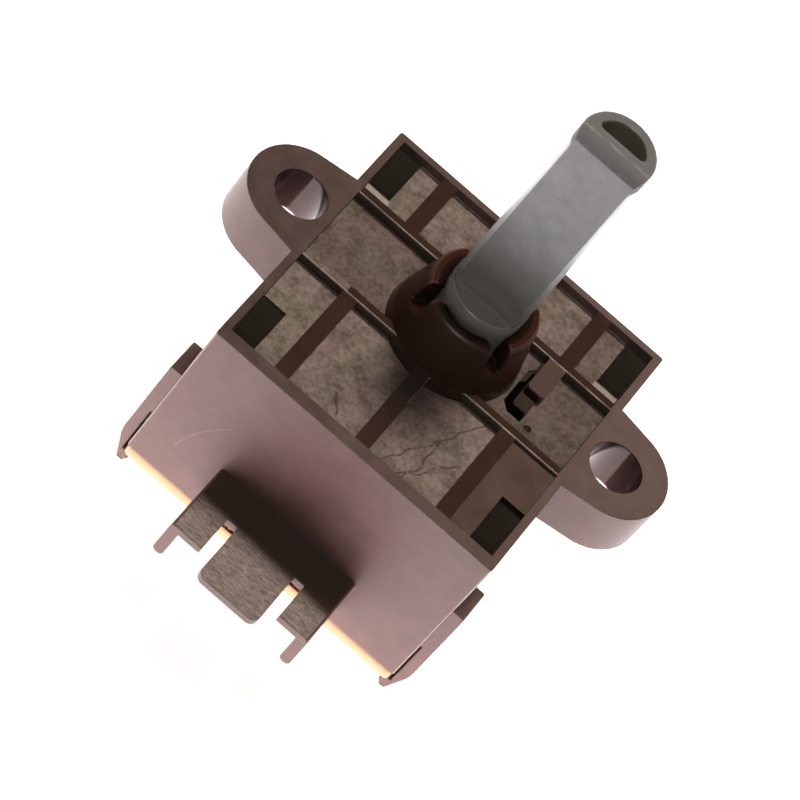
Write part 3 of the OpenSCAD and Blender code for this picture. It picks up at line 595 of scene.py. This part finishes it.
def moulded_polyester():
    """Brown filled polyester: dull and grainy from the eroded mould, glossy from the polished one."""
    made, tree, spot = start("moulded_brown_polyester")
    place = housing_places(tree, spot)
    up = place["up"]
    cloud = add(tree, NOISE, {}, {"Vector": spot, "Scale": 1 / CLOUD_MM, "Detail": 6, "Roughness": 0.65})
    grain = add(tree, NOISE, {}, {"Vector": spot, "Scale": 1 / GRAIN_MM, "Detail": 3, "Roughness": 0.7})
    radius = add(tree, MIX, NUMBERS, {0: place["collar"], 2: EDGE_MM * MM, 3: COLLAR_EDGE_MM * MM})
    rounded = rounded_normal(tree, radius, any_of(tree, [place["ribs"], place["hood root"]]))
    # Painted highlight: the rounded edges round the collar's top get a paler, redder paint
    place["painted collar highlight"] = add(tree, MATH, TIMES, {0: highlight_edges(tree, rounded), 1: place["collar top"]})
    # Painted highlight: the rib edges get a pale line, stronger where the noise is high
    highlight_share = add(tree, RAMP, {}, {"Value": cloud, "From Min": 0.35, "From Max": 0.6,
                                  "To Min": 0.25, "To Max": 0.8})
    place["rib edge highlights"] = add(tree, MATH, TIMES, {0: highlight_share, 1: place["rib edge highlights"]})
    colour = housing_colour(tree, spot, cloud, place)

    dull = add(tree, RAMP, {}, {"Value": grain, "To Min": 0.5, "To Max": 0.65})
    gloss = add(tree, RAMP, {}, {"Value": cloud, "To Min": 0.12, "To Max": 0.24})
    roughness = add(tree, MIX, NUMBERS, {0: place["polished"], 2: dull, 3: gloss})
    roughness = add(tree, MIX, NUMBERS, {0: up, 2: roughness, 3: dull})
    for name, value in (("rib edge highlights", 0.4), ("collar", 0.42), ("ear bores", 0.11)):
        roughness = add(tree, MIX, NUMBERS, {0: place[name], 2: roughness, 3: value})

    shine = PLAIN_SHINE
    for name, value in (("up", 0.3), ("ribs", 0.3), ("ear bores", 0.27), ("collar", 0.14),
                        ("painted collar highlight", 0.08)):
        shine = add(tree, MIX, NUMBERS, {0: place[name], 2: shine, 3: value})
    tint = add(tree, MIX, COLOURS, {0: place["ear bores"], 6: linear("#FFFFFF"), 7: linear("#E6BCBE")},
               out=2)
    depth = add(tree, MIX, NUMBERS, {0: place["polished"], 2: 0.35, 3: 0.05})
    bumps = add(tree, BUMP, {}, {"Strength": depth, "Distance": GRAIN_HEIGHT_MM * MM,
                                 "Height": grain, "Normal": rounded})
    shader = add(tree, PRINCIPLED, {}, {
        "Base Color": colour, "Roughness": roughness, "IOR": 1.54,
        "Specular IOR Level": shine, "Specular Tint": tint, "Normal": bumps})
    add(tree, OUTPUT, {}, {"Surface": shader})
    return made


polyester = moulded_polyester()
print("housing material nodes:", len(polyester.node_tree.nodes))

# %% [markdown]
# ## Moulded polyamide
# The shaft is a grey glass-filled polyamide. Light travels a little way through it, which softens its
# edges and lifts the hollow a little. The pale lines where faces meet are painted highlights, and so are
# the paler band at the top of the tip's bevel and the paler tops of the tip. The hollow and the journal
# are painted paler, which is painted light, and the ledge darker, which is painted shade. Its places are
# boxes again, from the same origin as the housing's, and the ones at the tip are measured down from the
# top of the shaft in the imported model.

# %% Shaft places
SHOULDER_MM = 5.6
SHAFT_TOP_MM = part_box("shaft")[1].z / MM
HOLLOW_R = 2.15
TIP_MM = 1.2
# The band at the top of the tip's bevel that gets a painted highlight, measured down from the top
SLOPE_MM = (0.55, 0.2)

SHAFT_PLACES = {
    "hollow": ((-3, -0.3, 10), (3, 3, SHAFT_TOP_MM - 0.05)),
    "journal": ((-3.3, -3.3, -1), (3.3, 3.3, SHOULDER_MM + 0.02)),
    # The journal's top edge, which gets a painted highlight
    "painted journal highlight": ((-3.3, -3.3, SHOULDER_MM - 0.12), (3.3, -1.6, SHOULDER_MM + 0.02)),
    "foot of the flat": ((-2.8, -1.8, SHOULDER_MM - 0.1), (2.8, -1.3, SHOULDER_MM + 0.3)),
    "bevel": ((-3, -1.49, 23), (3, -0.4, SHAFT_TOP_MM - 0.01)),
    "flash": ((-2.9, -1.0, 24.1), (2.9, 0, SHAFT_TOP_MM + 0.04)),
}


def shaft_places(tree, spot, height):
    """The masks of the shaft's places, each under its name."""
    place = {name: in_box(tree, spot, low, high) for name, (low, high) in SHAFT_PLACES.items()}
    flat = add(tree, VECTOR, TIMES, {0: spot, 1: (1, 1, 0)})
    reach = add(tree, VECTOR, LENGTH, {0: flat}, out="Value")
    inside = add(tree, MATH, {"operation": "LESS_THAN"}, {0: reach, 1: HOLLOW_R})
    place["hollow"] = add(tree, MATH, TIMES, {0: inside, 1: place["hollow"]})
    place["tip"] = add(tree, MATH, {"operation": "GREATER_THAN"}, {0: height, 1: SHAFT_TOP_MM - TIP_MM})
    up = looking_up(tree)
    # Painted sheen: the faces of the tip that look up are painted paler
    place["tip top"] = add(tree, MATH, TIMES, {0: up, 1: place["tip"]})
    # Painted shade: the ledge at the foot of the flat, under the shaft, is painted darker
    place["ledge"] = add(tree, MATH, TIMES, {0: up, 1: place["journal"]})
    # Painted highlight: the upper band of the tip's bevel is paler
    slope = add(tree, RAMP, SMOOTH, {"Value": height, "From Min": SHAFT_TOP_MM - SLOPE_MM[0],
                                     "From Max": SHAFT_TOP_MM - SLOPE_MM[1]})
    place["slope"] = add(tree, MATH, TIMES, {0: slope, 1: place["bevel"]})
    return place


print("shaft top in mm:", round(SHAFT_TOP_MM, 2))

# %% [markdown]
# ## The shaft's colours
# The lower end of the flat is painted darker, a painted shade where the housing keeps the light from
# below off it. A noise added to the height makes the border of that shade uneven. A ragged pale line of
# flash lies on the tip. The edges get a paler grey where the noise is high, which is a painted highlight.

# %% Shaft colours
# How far the noise moves the border of the painted shade, the heights where it is gone and where it is
# full, and its strength
SHADE_BORDER_REACH_MM = 14
SHADE_MM = (28, SHOULDER_MM + 7)
SHADE_SHOWS = 0.8
RAGGED_PER_MM = 1.6
FLASH_Y = -0.2
FLASH_HALF = 0.16
FLASH_WANDER_MM = 0.5


def shaft_colour(tree, spot, height, cloud, grain, edges, place):
    """The shaft's base colour: two greys, then a painted shade and a paint for each place."""
    share = add(tree, MIX, NUMBERS, {0: 0.3, 2: cloud, 3: grain})
    drift = add(tree, RAMP, {}, {"Value": share, **STRETCHED})
    colour = add(tree, MIX, COLOURS, {0: drift, 6: linear("#837F85"), 7: linear("#9A969C")}, out=2)
    # Painted shade: the lower end of the flat turns darker, with an uneven border
    shade_height = add(tree, MATH, TIMES_PLUS, {0: cloud, 1: SHADE_BORDER_REACH_MM, 2: height})
    painted_shade = add(tree, RAMP, SMOOTH, {"Value": shade_height, "From Min": SHADE_MM[0], "From Max": SHADE_MM[1]})
    painted_shade = add(tree, MATH, TIMES, {0: painted_shade, 1: SHADE_SHOWS})
    # Painted highlight: the shaft's edges get a paler grey where the noise is high
    painted_edge_highlight = add(tree, RAMP, {}, {"Value": cloud, "From Min": 0.4, "From Max": 0.6, "To Max": 0.6})
    painted_edge_highlight = add(tree, MATH, TIMES, {0: edges, 1: painted_edge_highlight})
    # Painted highlight: a pale line along the journal's top edge
    rim = add(tree, MATH, TIMES, {0: edges, 1: place["painted journal highlight"]})

    ragged = add(tree, NOISE, {}, {"Vector": spot, "Scale": RAGGED_PER_MM, "Detail": 4, "Roughness": 0.7})
    ragged = add(tree, RAMP, {}, {"Value": ragged, "From Min": 0.42, "From Max": 0.55})
    depth = add(tree, AXES, {}, {0: spot}, out="Y")
    depth = add(tree, MATH, TIMES_PLUS, {0: cloud, 1: FLASH_WANDER_MM, 2: depth})
    flash = add(tree, MATH, TIMES, {0: band(tree, depth, FLASH_Y, FLASH_HALF), 1: place["flash"]})
    flash = add(tree, MATH, TIMES, {0: ragged, 1: flash})
    for mask, paint in (
        (painted_shade, "#6E7068"),
        # Painted light: the journal is painted paler, which lifts it out of the collar's shade
        (place["journal"], "#A2A29E"),
        # Painted light: the hollow is painted paler, which lifts it out of its shade
        (place["hollow"], "#A4A298"),
        (place["tip top"], "#8B898A"),
        (place["ledge"], "#585853"),
        (rim, "#D6D6D0"),
        (place["slope"], "#9A989A"),
        (flash, "#B2AEAC"),
        (painted_edge_highlight, "#A8A4A0"),
    ):
        colour = add(tree, MIX, COLOURS, {0: mask, 6: colour, 7: linear(paint)}, out=2)
    return colour


print("the haze fades out at about", SHADE_MM[0] - SHADE_BORDER_REACH_MM / 2, "mm")

# %% [markdown]
# ## The shaft's finish
# Polyamide with glass has an IOR of about 1.53 and a satin skin, with its grain drawn as wide
# as the housing's for the same reason. The light that travels through it is subsurface
# scattering, over a little less than a millimetre. The bevel at the tip is rougher, so it
# shines less than the rest.

# %% Shaft material
TIP_EDGE_MM = 0.22
SHAFT_EDGE_MM = 0.14
SHAFT_GRAIN_HEIGHT_MM = 0.03
GLOW_DEPTH_MM = 0.8


def moulded_polyamide():
    """Grey glass-filled polyamide: satin, a little translucent, with pale torn edges."""
    made, tree, spot = start("moulded_grey_polyamide")
    height = add(tree, AXES, {}, {0: spot}, out="Z")
    place = shaft_places(tree, spot, height)
    cloud = add(tree, NOISE, {}, {"Vector": spot, "Scale": 1 / CLOUD_MM, "Detail": 5, "Roughness": 0.6})
    grain = add(tree, NOISE, {}, {"Vector": spot, "Scale": 1 / GRAIN_MM, "Detail": 4, "Roughness": 0.7})
    radius = add(tree, MIX, NUMBERS, {0: place["tip"], 2: SHAFT_EDGE_MM * MM, 3: TIP_EDGE_MM * MM})
    rounded = rounded_normal(tree, radius, place["foot of the flat"])
    edges = highlight_edges(tree, rounded)
    colour = shaft_colour(tree, spot, height, cloud, grain, edges, place)

    roughness = add(tree, RAMP, {}, {"Value": grain, "To Min": 0.3, "To Max": 0.42})
    roughness = add(tree, MIX, NUMBERS, {0: place["journal"], 2: roughness, 3: 0.2})
    roughness = add(tree, MIX, NUMBERS, {0: place["bevel"], 2: roughness, 3: 0.65})
    shine = add(tree, MIX, NUMBERS, {0: place["bevel"], 2: 0.5, 3: 0.1})
    bumps = add(tree, BUMP, {}, {"Strength": 0.06, "Distance": SHAFT_GRAIN_HEIGHT_MM * MM,
                                 "Height": grain, "Normal": rounded})
    shader = add(tree, PRINCIPLED, {}, {
        "Base Color": colour, "Roughness": roughness, "IOR": 1.53,
        "Specular IOR Level": shine, "Normal": bumps,
        "Subsurface Weight": 0.5, "Subsurface Scale": GLOW_DEPTH_MM * MM,
        "Subsurface Radius": (1.0, 0.95, 0.9)})
    add(tree, OUTPUT, {}, {"Surface": shader})
    return made


polyamide = moulded_polyamide()
print("shaft material nodes:", len(polyamide.node_tree.nodes))

# %% [markdown]
# ## Plain moulded and metal finishes
# The other pieces are simpler, so one function makes all their finishes. Each has a base
# colour that drifts a little over a few millimetres, a fine grain in its roughness, and a
# shallow bump of the same grain. The real grains are finer, and these are about as fine as a
# close render can show.

# %% Simple finishes
FINE_GRAIN_HEIGHT_MM = 0.03
FEWER_RAYS = 8


def finish(name, tones, drift_mm, grain_mm, rough, bump, edge_mm, fade=None, **sockets):
    """A surface whose colour drifts between two tones, with grain in its roughness.

    A fade, where given, is painted light: it blends in one colour at a low height and another at a high
    one.
    """
    made, tree, spot = start(name)
    cloud = add(tree, NOISE, {}, {"Vector": spot, "Scale": 1 / drift_mm, "Detail": 3})
    grain = add(tree, NOISE, {}, {"Vector": spot, "Scale": 1 / grain_mm, "Detail": 3, "Roughness": 0.7})
    share = add(tree, MIX, NUMBERS, {0: 0.3, 2: cloud, 3: grain})
    colour = add(tree, MIX, COLOURS, {0: share, 6: linear(tones[0]), 7: linear(tones[1])}, out=2)
    # Painted light: a paler colour low down and a darker one high up
    if fade:
        (low, high), low_paint, high_paint = fade
        height = add(tree, AXES, {}, {0: spot}, out="Z")
        middle = (low + high) / 2
        for edge, paint in ((low, low_paint), (high, high_paint)):
            near = add(tree, RAMP, SMOOTH, {"Value": height, "From Min": middle, "From Max": edge})
            colour = add(tree, MIX, COLOURS, {0: near, 6: colour, 7: linear(paint)}, out=2)
    roughness = add(tree, RAMP, {}, {"Value": grain, "To Min": rough[0], "To Max": rough[1]})
    rounded = add(tree, "ShaderNodeBevel", {"samples": FEWER_RAYS}, {"Radius": edge_mm * MM})
    bumps = add(tree, BUMP, {}, {"Strength": bump, "Distance": FINE_GRAIN_HEIGHT_MM * MM,
                                 "Height": grain, "Normal": rounded})
    inputs = {"Base Color": colour, "Roughness": roughness, "Normal": bumps}
    inputs.update(sockets)
    shader = add(tree, PRINCIPLED, {}, inputs)
    add(tree, OUTPUT, {}, {"Surface": shader})
    return made


print("grain height of the simple finishes in mm:", FINE_GRAIN_HEIGHT_MM)

# %% [markdown]
# ## Six simple finishes
# A plastic gets its IOR. A metal gets its colour from its base colour alone, and keeps the
# IOR as it is. The smoother a finish is, the lower its roughness, and the thinner a piece is,
# the finer its grain has to be drawn.

# %% Six finishes
# Acetal is the slippery plastic of rotors and gears, here dark brown and slightly satin
acetal = finish("moulded_brown_acetal", ("#54463C", "#635449"), drift_mm=3.0, grain_mm=0.2,
                rough=(0.25, 0.4), bump=0.1, edge_mm=0.06, IOR=1.48)
# Balls are ground and lapped, so they reflect the pocket round them like a mirror
steel = finish("polished_bearing_steel", ("#C6C8CC", "#D2D4D8"), drift_mm=1.0, grain_mm=0.1,
               rough=(0.08, 0.16), bump=0.02, edge_mm=0.06, Metallic=1.0)
# Drawing through a die leaves the wire bright but satin
wire = finish("drawn_spring_wire", ("#A9ABAE", "#C2C4C8"), drift_mm=0.5, grain_mm=0.05,
              rough=(0.2, 0.35), bump=0.1, edge_mm=0.02, Metallic=1.0)
# Rolled phosphor bronze is warm, and the rolls leave it satin
bronze = finish("rolled_phosphor_bronze", ("#C79A55", "#DDB26C"), drift_mm=1.5, grain_mm=0.08,
                rough=(0.25, 0.4), bump=0.1, edge_mm=0.02, Metallic=1.0)
# Etched copper foil has dulled under its clear lacquer
copper = finish("etched_copper_foil", ("#C98E68", "#DDA780"), drift_mm=1.5, grain_mm=0.1,
                rough=(0.3, 0.45), bump=0.1, edge_mm=0.02, Metallic=1.0)
# The board is bare resin and glass. Painted light: its cut edge is paler toward the light table and
# darker at the top
board_z = [corner.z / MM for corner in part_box("circuit_board")]
laminate = finish("pressed_glass_laminate", ("#BC8E5C", "#CEA676"), drift_mm=2.0, grain_mm=0.15,
                  rough=(0.4, 0.55), bump=0.1, edge_mm=0.06,
                  fade=(board_z, "#CBA480", "#8E5E3C"), IOR=1.55)
print("finishes:", [m.name for m in (polyamide, acetal, steel, wire, bronze, laminate, copper)])

# %% [markdown]
# ## Each piece gets its finish
# The nodes keep their shapes, and only their material slots change. The tracks, the leads and
# the pads are all of the one copper foil.

# %% Assign the finishes
FINISHES = {
    "housing": polyester,
    "shaft": polyamide,
    "rotor": acetal,
    "detent_ball": steel,
    "detent_spring": wire,
    "contact_brush": bronze,
    "circuit_board": laminate,
}

for name, piece in nodes.items():
    fitting = [FINISHES[beginning] for beginning in FINISHES if name.startswith(beginning)]
    piece.data.materials.clear()
    piece.data.materials.append(fitting[0] if fitting else copper)
print("dressed:", len(nodes))

# %% [markdown]
# ## Sizes and the end
# The visual model's box is measured again, and its largest growth past the imported model's box is
# printed. The visual model must stay inside the imported model's box.

# %% Measure the growth and finish
seen_low, seen_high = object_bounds()
bpy.context.scene.view_settings.view_transform = "Standard"
growth = max((cad_low - seen_low).length, (seen_high - cad_high).length)
print("largest growth in mm:", round(growth / MM, 4))
